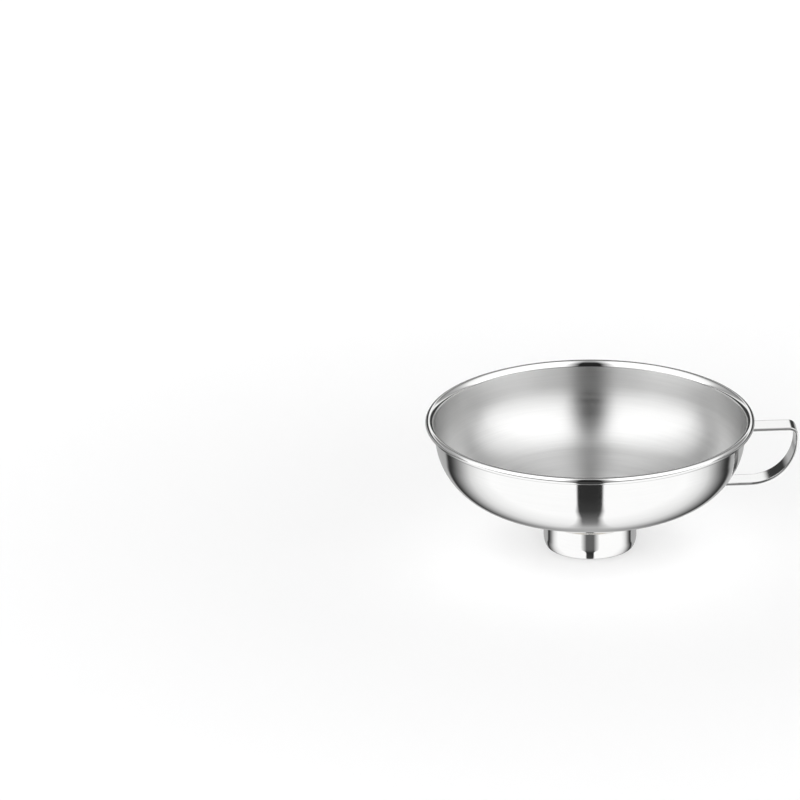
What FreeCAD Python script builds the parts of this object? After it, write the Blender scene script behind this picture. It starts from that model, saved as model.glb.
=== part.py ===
import FreeCAD, Part
import math
import os
import re

import Sketcher
from FreeCAD import Placement, Rotation, Vector

# Canning funnel in sheet stainless steel: a drawn bowl with a rolled rim, a short spout collar
# welded under it, and a bent strap handle spot-welded to the bowl's side.
#
# Frame: millimetres, +Z up, the origin on the funnel's axis in the plane the spout stands on,
# and the handle along +X. Every section is drawn on the XZ plane, where a point is given as
# (distance from the axis, height). Angles are in degrees.

SIZES = [
    ("rim_diameter", 140.0, "across the outside of the rolled rim"),
    ("rim_bead_diameter", 3.1, "thickness of the rolled rim"),
    ("rim_flare_radius", 2.4, "outward flare of the wall below the rolled rim"),
    ("rim_flare_turn", 52.0, "how far the flare turns before the tight roll starts"),
    ("rim_roll_turn", 265.0, "how far the tight roll goes round"),
    ("bowl_sheet", 0.6, "sheet thickness of the bowl"),
    ("side_angle", 7.9, "lean of the bowl's side from upright"),
    ("side_length", 8.0, "straight part of the bowl's side"),
    ("bowl_corner_radius", 29.0, "outside radius between the side and the floor"),
    ("floor_angle", 20.0, "fall of the bowl's floor towards the spout"),
    ("neck_bend_radius", 1.0, "outside radius between the floor and the neck"),
    ("neck_length", 4.0, "how far the neck reaches down from the bend"),
    ("neck_clearance", 0.05, "gap between the neck and the collar around it"),
    ("spout_diameter", 39.6, "outside of the spout collar"),
    ("spout_length", 13.8, "height of the bowl's floor above the spout's foot, at the collar"),
    ("spout_sheet", 0.8, "sheet thickness of the collar"),
    ("spout_curve_radius", 10.0, "gentle narrowing of the collar towards its foot"),
    ("spout_curve_height", 4.8, "height where that narrowing starts"),
    ("spout_lip_radius", 1.2, "outside radius of the turned-in foot"),
    ("spout_lip_width", 0.9, "flat ring that the funnel stands on"),
    ("weld_leg", 0.9, "leg of the weld between the collar and the floor"),
    ("weld_land", 0.2, "flat left on the collar's top edge beside the bevel for the weld"),
    ("strap_width", 10.0, "width of the handle strap"),
    ("strap_thickness", 1.2, "thickness of the handle strap"),
    ("strap_gap", 2.3, "gap between the rolled rim and the strap's top run"),
    ("handle_reach", 18.4, "how far the handle stands out past the rim"),
    ("handle_corner_radius", 3.3, "outside radius of the handle's upper corner"),
    ("handle_straight", 2.5, "upright part below that corner"),
    ("upper_bend_radius", 0.8, "inside radius where the top run turns down to its foot"),
    ("upper_foot_length", 6.0, "length of the upper foot below the strap's top face"),
    ("lower_bend_radius", 1.5, "inside radius where the lower run turns to its foot"),
    ("lower_foot_length", 7.0, "length of the lower foot along the bowl"),
    ("seat_slope", 36.0, "slope of the bowl where the lower run meets it"),
    ("upper_spot_inset", 2.0, "height of the upper spot welds above the foot's end"),
    ("lower_spot_inset", 3.0, "distance of the lower spot welds from the foot's end"),
    ("spot_diameter", 2.6, "diameter of a spot weld"),
    ("spot_spacing", 5.0, "distance between the two spot welds of a foot, taken at the rim"),
    ("spot_depth_bowl", 0.35, "how far a spot weld reaches into the bowl's sheet"),
    ("spot_depth_strap", 0.6, "how far a spot weld reaches into the strap"),
]

doc = FreeCAD.newDocument("canning_funnel")
sheet = doc.addObject("Spreadsheet::Sheet", "Sizes")
for row, (alias, value, note) in enumerate(SIZES, start=1):
    sheet.set(f"A{row}", alias)
    sheet.set(f"B{row}", str(value))
    sheet.setAlias(f"B{row}", alias)
    sheet.set(f"C{row}", note)
doc.recompute()

START, END, CENTRE = 1, 2, 3
# The sketcher's numbers for a sketch's own origin and axes.
ORIGIN = (-1, 1)
AXIS_LEVEL, AXIS_UP = -1, -2
FULL_TURN = 360.0


def size(alias):
    return float(sheet.get(alias))


def formula(text):
    """Turn 'rim_diameter / 2' into an expression on the sheet's cells."""
    return re.sub(r"[a-z]+(_[a-z]+)+", lambda name: "Sizes." + name.group(), text)


def evaluate(text):
    value = sheet.evalExpression(formula(text))
    return float(getattr(value, "Value", value))


def unit(angle):
    """The direction at an angle, measured from +X towards +Z."""
    return Vector(math.cos(math.radians(angle)), math.sin(math.radians(angle)), 0)


def at(radius, height):
    return Vector(radius, height, 0)


class Section:
    """A sketch on a body's XZ plane, filled one piece at a time from its true sizes."""

    def __init__(self, body, name):
        self.sketch = body.newObject("Sketcher::SketchObject", name)
        planes = [plane for plane in body.Origin.OriginFeatures if plane.Role == "XZ_Plane"]
        self.sketch.AttachmentSupport = [(planes[0], "")]
        self.sketch.MapMode = "FlatFace"

    def line(self, start, end, helper=False):
        return self.sketch.addGeometry(Part.LineSegment(start, end), helper)

    def arc(self, centre, radius, first, last, helper=False):
        circle = Part.Circle(centre, Vector(0, 0, 1), radius)
        piece = Part.ArcOfCircle(circle, math.radians(first), math.radians(last))
        return self.sketch.addGeometry(piece, helper)

    def mark(self, place):
        return self.sketch.addGeometry(Part.Point(place), True)

    def hold(self, kind, *places):
        self.sketch.addConstraint(Sketcher.Constraint(kind, *places))

    def drive(self, kind, text, *places):
        """Add a dimension whose value comes from the sheet."""
        value, expression = evaluate(text), formula(text)
        if kind == "Angle":
            value = math.radians(value)
            expression = f"({expression}) * 1 deg"
        index = self.sketch.addConstraint(Sketcher.Constraint(kind, *places, value))
        self.sketch.setExpression(f"Constraints[{index}]", expression)

    def chain(self, joints):
        """Join neighbouring pieces end to end, tangent to each other."""
        for joint in joints:
            self.hold("Tangent", *joint)

    def corners(self, joints):
        for joint in joints:
            self.hold("Coincident", *joint)

    def radius_at(self, text, piece, place):
        self.drive("DistanceX", text, *ORIGIN, piece, place)

    def height_at(self, text, piece, place):
        self.drive("DistanceY", text, *ORIGIN, piece, place)


class WallPlaces:
    """Places on the bowl's outer surface, worked out from the sheet."""

    def __init__(self):
        side, floor = size("side_angle"), size("floor_angle")
        self.roll_tilt = side + size("rim_flare_turn")
        roll_radius = size("rim_bead_diameter") / 2 - size("bowl_sheet")
        flare = size("rim_flare_radius")
        corner = size("bowl_corner_radius")
        inward = unit(180 - side)
        self.roll = at(size("rim_diameter") / 2 - size("rim_bead_diameter") / 2, 0)
        self.flare = self.roll + unit(180 - self.roll_tilt) * (roll_radius - flare)
        self.side_top = self.flare + inward * flare
        self.side_foot = self.side_top - unit(90 - side) * size("side_length")
        self.corner = self.side_foot + inward * corner
        self.floor_top = self.corner + unit(floor - 90) * corner
        self.floor_foot = at(size("spout_diameter") / 2, size("spout_length"))
        run = self.floor_top.x - self.floor_foot.x
        rise = self.floor_foot.y + run * math.tan(math.radians(floor)) - self.floor_top.y
        for place in (self.roll, self.flare, self.side_top, self.side_foot, self.corner, self.floor_top):
            place.y += rise


WALL = WallPlaces()
WALL_PIECES = ("floor", "corner", "side", "flare", "roll")

NECK_RADIUS = "spout_diameter / 2 - spout_sheet - neck_clearance"
# Height of the centre of the bend between the floor and the neck.
NECK_BEND_HEIGHT = (
    "spout_length - (spout_sheet + neck_clearance - neck_bend_radius) * tan(floor_angle * 1 deg)"
    " - neck_bend_radius / cos(floor_angle * 1 deg)"
)

# How deep the strap's flat feet are drawn into the round wall before they are bedded on it:
# enough for their edges to reach it wherever its radius is over a quarter of the rim's diameter.
FOOT_BED = "strap_width ^ 2 / (8 * rim_diameter / 4)"


def add_outer_wall(section, drawn):
    """The bowl's outer surface up to the inside of the rolled rim.

    The pieces named in drawn belong to the section, and the others only hold it in place.
    """
    side, floor = size("side_angle"), size("floor_angle")
    roll_radius = size("rim_bead_diameter") / 2 - size("bowl_sheet")
    roll_end = 180 - WALL.roll_tilt
    roll_start = roll_end - size("rim_roll_turn")
    helps = {name: name not in drawn for name in WALL_PIECES}
    pieces = {
        "floor": section.line(WALL.floor_foot, WALL.floor_top, helps["floor"]),
        "corner": section.arc(
            WALL.corner, size("bowl_corner_radius"), floor - 90, -side, helps["corner"]
        ),
        "side": section.line(WALL.side_foot, WALL.side_top, helps["side"]),
        "flare": section.arc(
            WALL.flare, size("rim_flare_radius"), roll_end, 180 - side, helps["flare"]
        ),
        "roll": section.arc(WALL.roll, roll_radius, roll_start, roll_end, helps["roll"]),
    }
    section.chain([
        (pieces["floor"], END, pieces["corner"], START),
        (pieces["corner"], END, pieces["side"], START),
        (pieces["side"], END, pieces["flare"], END),
        (pieces["flare"], START, pieces["roll"], END),
    ])
    section.drive("Angle", "floor_angle", pieces["floor"])
    section.drive("Angle", "90 - side_angle", pieces["side"])
    section.drive("Distance", "side_length", pieces["side"])
    section.drive("Radius", "bowl_corner_radius", pieces["corner"])
    section.drive("Radius", "rim_flare_radius", pieces["flare"])
    section.drive("Radius", "rim_bead_diameter / 2 - bowl_sheet", pieces["roll"])
    section.drive("Angle", "rim_flare_turn", pieces["flare"])
    section.drive("Angle", "rim_roll_turn", pieces["roll"])
    section.radius_at("rim_diameter / 2 - rim_bead_diameter / 2", pieces["roll"], CENTRE)
    return pieces


def start_floor_at_collar(section, wall):
    section.radius_at("spout_diameter / 2", wall["floor"], START)
    section.height_at("spout_length", wall["floor"], START)


def revolve(body, section, feature="Revolution"):
    turned = body.newObject("PartDesign::" + feature, section.sketch.Name + "_turned")
    turned.Profile = section.sketch
    turned.ReferenceAxis = (section.sketch, ["V_Axis"])
    turned.Angle = FULL_TURN
    section.sketch.Visibility = False
    return turned


def new_body(label):
    body = doc.addObject("PartDesign::Body", label)
    body.Label = label
    return body


def make_bowl():
    """The drawn bowl in one sheet, from the neck in the collar up to the end of the rolled rim."""
    body = new_body("bowl_sheet_metal")
    section = Section(body, "bowl_section")
    side, floor, gauge = size("side_angle"), size("floor_angle"), size("bowl_sheet")
    bend, neck_radius = size("neck_bend_radius"), evaluate(NECK_RADIUS)
    bend_centre = at(neck_radius + bend, evaluate(NECK_BEND_HEIGHT))
    neck_foot = bend_centre.y - size("neck_length")
    roll_end = 180 - WALL.roll_tilt
    roll_tip = roll_end - size("rim_roll_turn")
    bead = size("rim_bead_diameter") / 2
    up = unit(90 + floor)
    inward = unit(180 - side)

    outer = add_outer_wall(section, WALL_PIECES)
    outer_neck = section.line(at(neck_radius, neck_foot), at(neck_radius, bend_centre.y))
    outer_bend = section.arc(bend_centre, bend, 90 + floor, 180)
    inner_floor = section.line(bend_centre + up * (bend + gauge), WALL.floor_top + up * gauge)
    inner_corner = section.arc(WALL.corner, size("bowl_corner_radius") - gauge, floor - 90, -side)
    inner_side = section.line(WALL.side_foot + inward * gauge, WALL.side_top + inward * gauge)
    inner_flare = section.arc(WALL.flare, size("rim_flare_radius") + gauge, roll_end, 180 - side)
    bead_face = section.arc(WALL.roll, bead, roll_tip, roll_end)
    inner_bend = section.arc(bend_centre, bend + gauge, 90 + floor, 180)
    inner_neck = section.line(at(neck_radius - gauge, neck_foot), at(neck_radius - gauge, bend_centre.y))
    neck_edge = section.line(at(neck_radius - gauge, neck_foot), at(neck_radius, neck_foot))
    roll_edge = section.line(WALL.roll + unit(roll_tip) * (bead - gauge), WALL.roll + unit(roll_tip) * bead)
    collar_corner = section.mark(WALL.floor_foot)

    section.chain([
        (outer_neck, END, outer_bend, END),
        (outer_bend, START, outer["floor"], START),
        (inner_neck, END, inner_bend, END),
        (inner_bend, START, inner_floor, START),
        (inner_floor, END, inner_corner, START),
        (inner_corner, END, inner_side, START),
        (inner_side, END, inner_flare, END),
        (inner_flare, START, bead_face, END),
    ])
    section.corners([
        (inner_neck, START, neck_edge, START),
        (neck_edge, END, outer_neck, START),
        (outer["roll"], START, roll_edge, START),
        (roll_edge, END, bead_face, START),
        (outer["roll"], CENTRE, bead_face, CENTRE),
    ])
    for upright in (outer_neck, inner_neck):
        section.hold("Vertical", upright)
    section.hold("Horizontal", neck_edge)
    section.radius_at(NECK_RADIUS, outer_neck, END)
    section.radius_at(NECK_RADIUS + " - bowl_sheet", inner_neck, END)
    section.drive("Distance", "neck_length", outer_neck)
    section.drive("Radius", "neck_bend_radius", outer_bend)
    section.drive("Radius", "neck_bend_radius + bowl_sheet", inner_bend)
    section.radius_at("spout_diameter / 2", collar_corner, START)
    section.height_at("spout_length", collar_corner, START)
    section.hold("PointOnObject", collar_corner, START, outer["floor"])
    section.drive("Angle", "floor_angle", inner_floor)
    section.drive("Distance", "bowl_sheet", outer["floor"], END, inner_floor)
    section.drive("Radius", "bowl_corner_radius - bowl_sheet", inner_corner)
    section.drive("Angle", "90 - side_angle", inner_side)
    section.drive("Distance", "bowl_sheet", outer["side"], END, inner_side)
    section.drive("Radius", "rim_flare_radius + bowl_sheet", inner_flare)
    section.drive("Radius", "rim_bead_diameter / 2", bead_face)
    section.hold("PointOnObject", bead_face, CENTRE, roll_edge)
    revolve(body, section)
    return body


def make_collar():
    """The spout: a short tube, slightly narrowed below, with its foot turned in to a flat ring."""
    body = new_body("spout_collar")
    section = Section(body, "collar_section")
    outer, gauge = size("spout_diameter") / 2, size("spout_sheet")
    curve, lip = size("spout_curve_radius"), size("spout_lip_radius")
    top = evaluate(NECK_BEND_HEIGHT)
    curve_centre = at(outer - curve, size("spout_curve_height"))
    fall = math.asin((curve_centre.y - lip) / (curve - lip))
    lip_centre = curve_centre + unit(-math.degrees(fall)) * (curve - lip)
    joint = -math.degrees(fall)
    flat_end = lip_centre.x - size("spout_lip_width")
    bevel_foot = at(outer, top - size("weld_leg"))
    bevel_top = at(outer - gauge + size("weld_land"), top)

    outside = section.line(at(outer, curve_centre.y), bevel_foot)
    curve_out = section.arc(curve_centre, curve, joint, 0)
    lip_out = section.arc(lip_centre, lip, -90, joint)
    foot = section.line(at(lip_centre.x, 0), at(flat_end, 0))
    foot_edge = section.line(at(flat_end, 0), at(flat_end, gauge))
    foot_top = section.line(at(flat_end, gauge), at(lip_centre.x, gauge))
    lip_in = section.arc(lip_centre, lip - gauge, -90, joint)
    curve_in = section.arc(curve_centre, curve - gauge, joint, 0)
    inside = section.line(at(outer - gauge, curve_centre.y), at(outer - gauge, top))
    top_edge = section.line(at(outer - gauge, top), bevel_top)
    bevel = section.line(bevel_top, bevel_foot)

    section.chain([
        (outside, START, curve_out, END),
        (curve_out, START, lip_out, END),
        (lip_out, START, foot, START),
        (foot_top, END, lip_in, START),
        (lip_in, END, curve_in, START),
        (curve_in, END, inside, START),
    ])
    section.corners([
        (foot, END, foot_edge, START),
        (foot_edge, END, foot_top, START),
        (inside, END, top_edge, START),
        (top_edge, END, bevel, START),
        (bevel, END, outside, END),
        (curve_out, CENTRE, curve_in, CENTRE),
    ])
    for upright in (outside, inside, foot_edge):
        section.hold("Vertical", upright)
    for level in (foot, foot_top, top_edge):
        section.hold("Horizontal", level)
    section.radius_at("spout_diameter / 2", outside, END)
    section.radius_at("spout_diameter / 2 - spout_sheet", inside, END)
    section.height_at(NECK_BEND_HEIGHT + " - weld_leg", outside, END)
    section.height_at(NECK_BEND_HEIGHT, inside, END)
    section.drive("Distance", "weld_land", top_edge)
    section.height_at("spout_curve_height", outside, START)
    section.hold("PointOnObject", foot, END, AXIS_LEVEL)
    section.drive("Distance", "spout_sheet", foot_edge)
    section.drive("Distance", "spout_lip_width", foot)
    section.drive("Radius", "spout_curve_radius", curve_out)
    section.drive("Radius", "spout_lip_radius", lip_out)
    section.drive("Radius", "spout_lip_radius - spout_sheet", lip_in)
    revolve(body, section)
    return body


def make_spout_weld():
    """The weld that fills the bevel on the collar's top and runs round it, under the bowl's floor."""
    body = new_body("spout_weld")
    section = Section(body, "weld_section")
    floor, bend, leg = size("floor_angle"), size("neck_bend_radius"), size("weld_leg")
    neck_radius, outer = evaluate(NECK_RADIUS), size("spout_diameter") / 2
    bend_centre = at(neck_radius + bend, evaluate(NECK_BEND_HEIGHT))
    toe_up = WALL.floor_foot + unit(floor) * leg
    root = at(outer - size("spout_sheet") + size("weld_land"), bend_centre.y)
    toe_down = at(outer, bend_centre.y - leg)

    against_bend = section.arc(bend_centre, bend, 90 + floor, 180)
    against_floor = section.line(bend_centre + unit(90 + floor) * bend, toe_up)
    face = section.line(toe_up, toe_down)
    against_bevel = section.line(toe_down, root)
    against_top = section.line(root, at(neck_radius, bend_centre.y))

    section.chain([(against_bend, START, against_floor, START)])
    section.corners([
        (against_floor, END, face, START),
        (face, END, against_bevel, START),
        (against_bevel, END, against_top, START),
        (against_top, END, against_bend, END),
    ])
    section.hold("Horizontal", against_top)
    section.radius_at(NECK_RADIUS, against_top, END)
    section.height_at(NECK_BEND_HEIGHT, against_top, END)
    section.radius_at("spout_diameter / 2 - spout_sheet + weld_land", against_top, START)
    section.drive("Angle", "floor_angle", against_floor)
    section.drive("Radius", "neck_bend_radius", against_bend)
    section.hold("Horizontal", against_bend, CENTRE, against_bend, END)
    section.radius_at("spout_diameter / 2 + weld_leg * cos(floor_angle * 1 deg)", face, START)
    section.radius_at("spout_diameter / 2", face, END)
    section.height_at(NECK_BEND_HEIGHT + " - weld_leg", face, END)
    revolve(body, section)
    return body


def make_strap():
    """The handle: one strap bent to a loop, with a foot at each end that follows the bowl."""
    body = new_body("strap_sheet_metal")
    section = Section(body, "strap_section")
    wall = add_outer_wall(section, ())
    start_floor_at_collar(section, wall)

    side, thick, bed = size("side_angle"), size("strap_thickness"), evaluate(FOOT_BED)
    inward, upward = unit(180 - side), unit(90 - side)
    corner_radius, seat = size("bowl_corner_radius"), size("seat_slope")
    top = WALL.roll.y - size("rim_bead_diameter") / 2 - size("strap_gap")
    reach = size("rim_diameter") / 2 + size("handle_reach")
    tight = size("handle_corner_radius")
    tight_centre = at(reach - tight, top - tight)
    straight_foot = tight_centre.y - size("handle_straight")
    seat_point = WALL.corner + unit(seat - 90) * corner_radius
    under = seat_point.y - thick
    wide = straight_foot - under
    wide_centre = at(reach - wide, straight_foot)

    def upper_bend_centre(radius, offset, height):
        """A bend below a level face at a height, on the outer side of a face along the wall."""
        level = height - radius
        along = (level - WALL.side_top.y) * inward.y
        return at(WALL.side_top.x + (offset - radius - along) / inward.x, level)

    def lower_bend_centre(distance, level):
        """A centre at a height and at a distance from the centre of the bowl's corner."""
        drop = WALL.corner.y - level
        return at(WALL.corner.x + math.sqrt(distance ** 2 - drop ** 2), level)

    bend_up = size("upper_bend_radius")
    outer_bend_centre = upper_bend_centre(bend_up + thick, bed, top)
    inner_bend_centre = upper_bend_centre(bend_up, -thick, top - thick)
    foot_end = top - size("upper_foot_length")
    foot_outer_end = WALL.side_top - inward * thick
    foot_outer_end += upward * ((foot_end - foot_outer_end.y) / upward.y)
    foot_wall_end = foot_outer_end + inward * (thick + bed)

    bend_low = size("lower_bend_radius")
    level = under - bend_low
    hollow_centre = lower_bend_centre(corner_radius + thick + bend_low, level)
    round_centre = lower_bend_centre(corner_radius - bed + thick + bend_low, level)

    def heading(start, end):
        return math.degrees(math.atan2(end.y - start.y, end.x - start.x))

    hollow_end = heading(hollow_centre, WALL.corner)
    round_end = heading(round_centre, WALL.corner)
    lower_end = seat - 90 - math.degrees(size("lower_foot_length") / corner_radius)

    # The side away from the hand, from the upper foot round to the lower foot.
    wall_face = section.line(foot_wall_end, outer_bend_centre + inward * (bend_up + thick))
    outer_bend = section.arc(outer_bend_centre, bend_up + thick, 90, 180 - side)
    top_face = section.line(at(outer_bend_centre.x, top), at(tight_centre.x, top))
    tight_outer = section.arc(tight_centre, tight, 0, 90)
    end_outer = section.line(at(reach, tight_centre.y), at(reach, straight_foot))
    wide_outer = section.arc(wide_centre, wide, -90, 0)
    under_face = section.line(at(wide_centre.x, under), at(hollow_centre.x, under))
    hollow_bend = section.arc(hollow_centre, bend_low, 90, hollow_end)
    foot_outer = section.arc(WALL.corner, corner_radius + thick, lower_end, hollow_end - 180)
    # The hand's side, from the lower foot back to the upper foot.
    foot_inner = section.arc(WALL.corner, corner_radius - bed, lower_end, round_end - 180)
    round_bend = section.arc(round_centre, bend_low + thick, 90, round_end)
    rest_face = section.line(at(round_centre.x, under + thick), at(wide_centre.x, under + thick))
    wide_inner = section.arc(wide_centre, wide - thick, -90, 0)
    end_inner = section.line(at(reach - thick, straight_foot), at(reach - thick, tight_centre.y))
    tight_inner = section.arc(tight_centre, tight - thick, 0, 90)
    grip_face = section.line(at(tight_centre.x, top - thick), at(inner_bend_centre.x, top - thick))
    inner_bend = section.arc(inner_bend_centre, bend_up, 90, 180 - side)
    outer_face = section.line(inner_bend_centre + inward * bend_up, foot_outer_end)
    # The two cut ends, and the line that marks where the lower run meets the bowl.
    lower_edge = section.line(
        WALL.corner + unit(lower_end) * (corner_radius - bed),
        WALL.corner + unit(lower_end) * (corner_radius + thick),
    )
    upper_edge = section.line(foot_outer_end, foot_wall_end)
    seat_mark = section.line(WALL.corner, seat_point, True)

    section.chain([
        (wall_face, END, outer_bend, END),
        (outer_bend, START, top_face, START),
        (top_face, END, tight_outer, END),
        (tight_outer, START, end_outer, START),
        (end_outer, END, wide_outer, END),
        (wide_outer, START, under_face, START),
        (under_face, END, hollow_bend, START),
        (hollow_bend, END, foot_outer, END),
        (foot_inner, END, round_bend, END),
        (round_bend, START, rest_face, START),
        (rest_face, END, wide_inner, START),
        (wide_inner, END, end_inner, START),
        (end_inner, END, tight_inner, START),
        (tight_inner, END, grip_face, START),
        (grip_face, END, inner_bend, START),
        (inner_bend, END, outer_face, START),
    ])
    section.corners([
        (foot_outer, START, lower_edge, END),
        (lower_edge, START, foot_inner, START),
        (outer_face, END, upper_edge, START),
        (upper_edge, END, wall_face, START),
        (foot_outer, CENTRE, wall["corner"], CENTRE),
        (foot_inner, CENTRE, wall["corner"], CENTRE),
        (seat_mark, START, wall["corner"], CENTRE),
        (tight_outer, CENTRE, tight_inner, CENTRE),
    ])
    for level_face in (top_face, under_face, rest_face, grip_face):
        section.hold("Horizontal", level_face)
    for upright in (end_outer, end_inner):
        section.hold("Vertical", upright)
    section.hold("Perpendicular", upper_edge, outer_face)
    section.hold("PointOnObject", wall["corner"], CENTRE, lower_edge)
    section.hold("Horizontal", seat_mark, END, rest_face, START)
    section.drive("Distance", "bowl_corner_radius", seat_mark)
    section.drive("Angle", "seat_slope - 90", seat_mark)
    section.drive("Angle", "90 - side_angle", wall_face)
    section.drive("Angle", "-90 - side_angle", outer_face)
    section.drive("Distance", FOOT_BED, wall["side"], END, wall_face)
    section.drive("Distance", "strap_thickness", wall["side"], END, outer_face)
    section.drive("DistanceY", "rim_bead_diameter / 2 + strap_gap", top_face, START, wall["roll"], CENTRE)
    section.drive("DistanceY", "strap_thickness", grip_face, END, top_face, START)
    section.drive("DistanceY", "strap_thickness", under_face, END, rest_face, START)
    section.drive("DistanceY", "upper_foot_length", outer_face, END, top_face, START)
    section.radius_at("rim_diameter / 2 + handle_reach", end_outer, START)
    section.drive("Distance", "handle_straight", end_outer)
    section.drive("Distance", "handle_straight", end_inner)
    section.drive("Radius", "handle_corner_radius", tight_outer)
    section.drive("Radius", "upper_bend_radius + strap_thickness", outer_bend)
    section.drive("Radius", "upper_bend_radius", inner_bend)
    section.drive("Radius", "lower_bend_radius", hollow_bend)
    section.drive("Radius", "lower_bend_radius + strap_thickness", round_bend)
    section.drive("Radius", "bowl_corner_radius + strap_thickness", foot_outer)
    section.drive("Radius", "bowl_corner_radius - " + FOOT_BED, foot_inner)
    section.drive("Angle", "lower_foot_length / bowl_corner_radius * 180 / pi", lower_edge, seat_mark)

    pad = body.newObject("PartDesign::Pad", "strap_pad")
    pad.Profile = section.sketch
    pad.SideType = "Symmetric"
    pad.setExpression("Length", formula("strap_width"))
    section.sketch.Visibility = False

    # The feet are bedded on the round wall: all that lies inside the bowl's outside goes.
    bed_section = Section(body, "bowl_outside")
    outline = add_outer_wall(bed_section, ("floor", "corner", "side"))
    start_floor_at_collar(bed_section, outline)
    lid = bed_section.line(WALL.side_top, at(0, WALL.side_top.y))
    core = bed_section.line(at(0, WALL.side_top.y), at(0, WALL.floor_foot.y))
    base = bed_section.line(at(0, WALL.floor_foot.y), WALL.floor_foot)
    bed_section.corners([
        (outline["side"], END, lid, START),
        (lid, END, core, START),
        (core, END, base, START),
        (base, END, outline["floor"], START),
    ])
    bed_section.hold("Horizontal", lid)
    bed_section.hold("Horizontal", base)
    bed_section.hold("PointOnObject", core, START, AXIS_UP)
    bed_section.hold("PointOnObject", core, END, AXIS_UP)
    revolve(body, bed_section, "Groove")
    return body


def add_spot_section(section, inner_end, direction):
    """Half of a spot weld's section, beside the axis it is turned about."""
    depth = size("spot_depth_bowl") + size("spot_depth_strap")
    outer_end = inner_end + direction * depth
    aside = Vector(-direction.y, direction.x, 0) * (size("spot_diameter") / 2)
    axis = section.line(inner_end, outer_end, True)
    middle = section.line(inner_end, outer_end)
    strap_face = section.line(outer_end, outer_end + aside)
    rim = section.line(outer_end + aside, inner_end + aside)
    bowl_face = section.line(inner_end + aside, inner_end)
    section.corners([
        (axis, START, middle, START),
        (axis, END, middle, END),
        (middle, END, strap_face, START),
        (strap_face, END, rim, START),
        (rim, END, bowl_face, START),
        (bowl_face, END, middle, START),
    ])
    section.hold("Perpendicular", middle, strap_face)
    section.hold("Perpendicular", strap_face, rim)
    section.hold("Perpendicular", rim, bowl_face)
    section.drive("Distance", "spot_depth_bowl + spot_depth_strap", middle)
    section.drive("Distance", "spot_diameter / 2", strap_face)
    return middle


def make_spot_welds():
    """Two spot welds side by side through each foot of the strap."""
    body = new_body("strap_spot_welds")
    inward = unit(180 - size("side_angle"))
    top = WALL.roll.y - size("rim_bead_diameter") / 2 - size("strap_gap")
    height = top - size("upper_foot_length") + size("upper_spot_inset")
    start = WALL.side_top + inward * size("spot_depth_bowl")
    start -= unit(90 - size("side_angle")) * ((start.y - height) / math.cos(math.radians(size("side_angle"))))
    upper = Section(body, "upper_spot_section")
    middle = add_spot_section(upper, start, inward * -1)
    wall = add_outer_wall(upper, ())
    start_floor_at_collar(upper, wall)
    upper.drive("Angle", "-side_angle", middle)
    upper.drive("Distance", "spot_depth_bowl", middle, START, wall["side"])
    upper.drive(
        "DistanceY",
        "rim_bead_diameter / 2 + strap_gap + upper_foot_length - upper_spot_inset",
        middle, START, wall["roll"], CENTRE,
    )

    along = size("lower_foot_length") - size("lower_spot_inset")
    heading = size("seat_slope") - 90 - math.degrees(along / size("bowl_corner_radius"))
    start = WALL.corner + unit(heading) * (size("bowl_corner_radius") - size("spot_depth_bowl"))
    lower = Section(body, "lower_spot_section")
    middle = add_spot_section(lower, start, unit(heading))
    wall = add_outer_wall(lower, ())
    start_floor_at_collar(lower, wall)
    lower.drive(
        "Angle",
        "seat_slope - 90 - (lower_foot_length - lower_spot_inset) / bowl_corner_radius * 180 / pi",
        middle,
    )
    lower.hold("PointOnObject", wall["corner"], CENTRE, middle)
    lower.drive("Distance", "bowl_corner_radius - spot_depth_bowl", wall["corner"], CENTRE, middle, START)

    spots = []
    for section in (upper, lower):
        spot = revolve(body, section)
        spot.ReferenceAxis = (section.sketch, ["Axis0"])
        spots.append(spot)
    pair = body.newObject("PartDesign::PolarPattern", "spot_pairs")
    pair.Originals = spots
    pair.Axis = (upper.sketch, ["V_Axis"])
    pair.Occurrences = 2
    half_angle = "asin(spot_spacing / rim_diameter)"
    pair.setExpression("Angle", formula(f"2 * {half_angle}"))
    body.Tip = pair
    body.Placement = Placement(Vector(), Rotation(Vector(0, 0, 1), 0))
    body.setExpression("Placement.Rotation.Angle", formula(f"-{half_angle}"))
    return body


def cut(label, base, tool):
    piece = doc.addObject("Part::Cut", label)
    piece.Base = base
    piece.Tool = tool
    piece.Label = label
    return piece


def check(document):
    for item in document.Objects:
        if {"Invalid", "Error"} & set(item.State):
            raise RuntimeError(f"{item.Name} did not compute: {item.State}")
        if item.TypeId == "Sketcher::SketchObject" and not item.FullyConstrained:
            raise RuntimeError(f"{item.Name} is not fully constrained")


def main():
    spot_welds = make_spot_welds()
    pieces = [
        cut("funnel_bowl", make_bowl(), spot_welds),
        make_collar(),
        make_spout_weld(),
        cut("handle_strap", make_strap(), spot_welds),
        spot_welds,
    ]
    doc.recompute()
    check(doc)
    os.makedirs("parts", exist_ok=True)
    for piece in pieces:
        shape = piece.Shape
        if shape.isNull() or not shape.isValid():
            raise RuntimeError(f"{piece.Label} has no valid shape")
        print(piece.Label, len(shape.Solids), "solids", round(shape.Volume, 2), "mm3", shape.BoundBox)
        shape.exportStep(f"parts/{piece.Label}.step")


main()
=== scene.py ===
import math

import bpy
from bpy.props import FloatProperty, FloatVectorProperty, IntProperty, PointerProperty
from mathutils import Matrix, Vector


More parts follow.
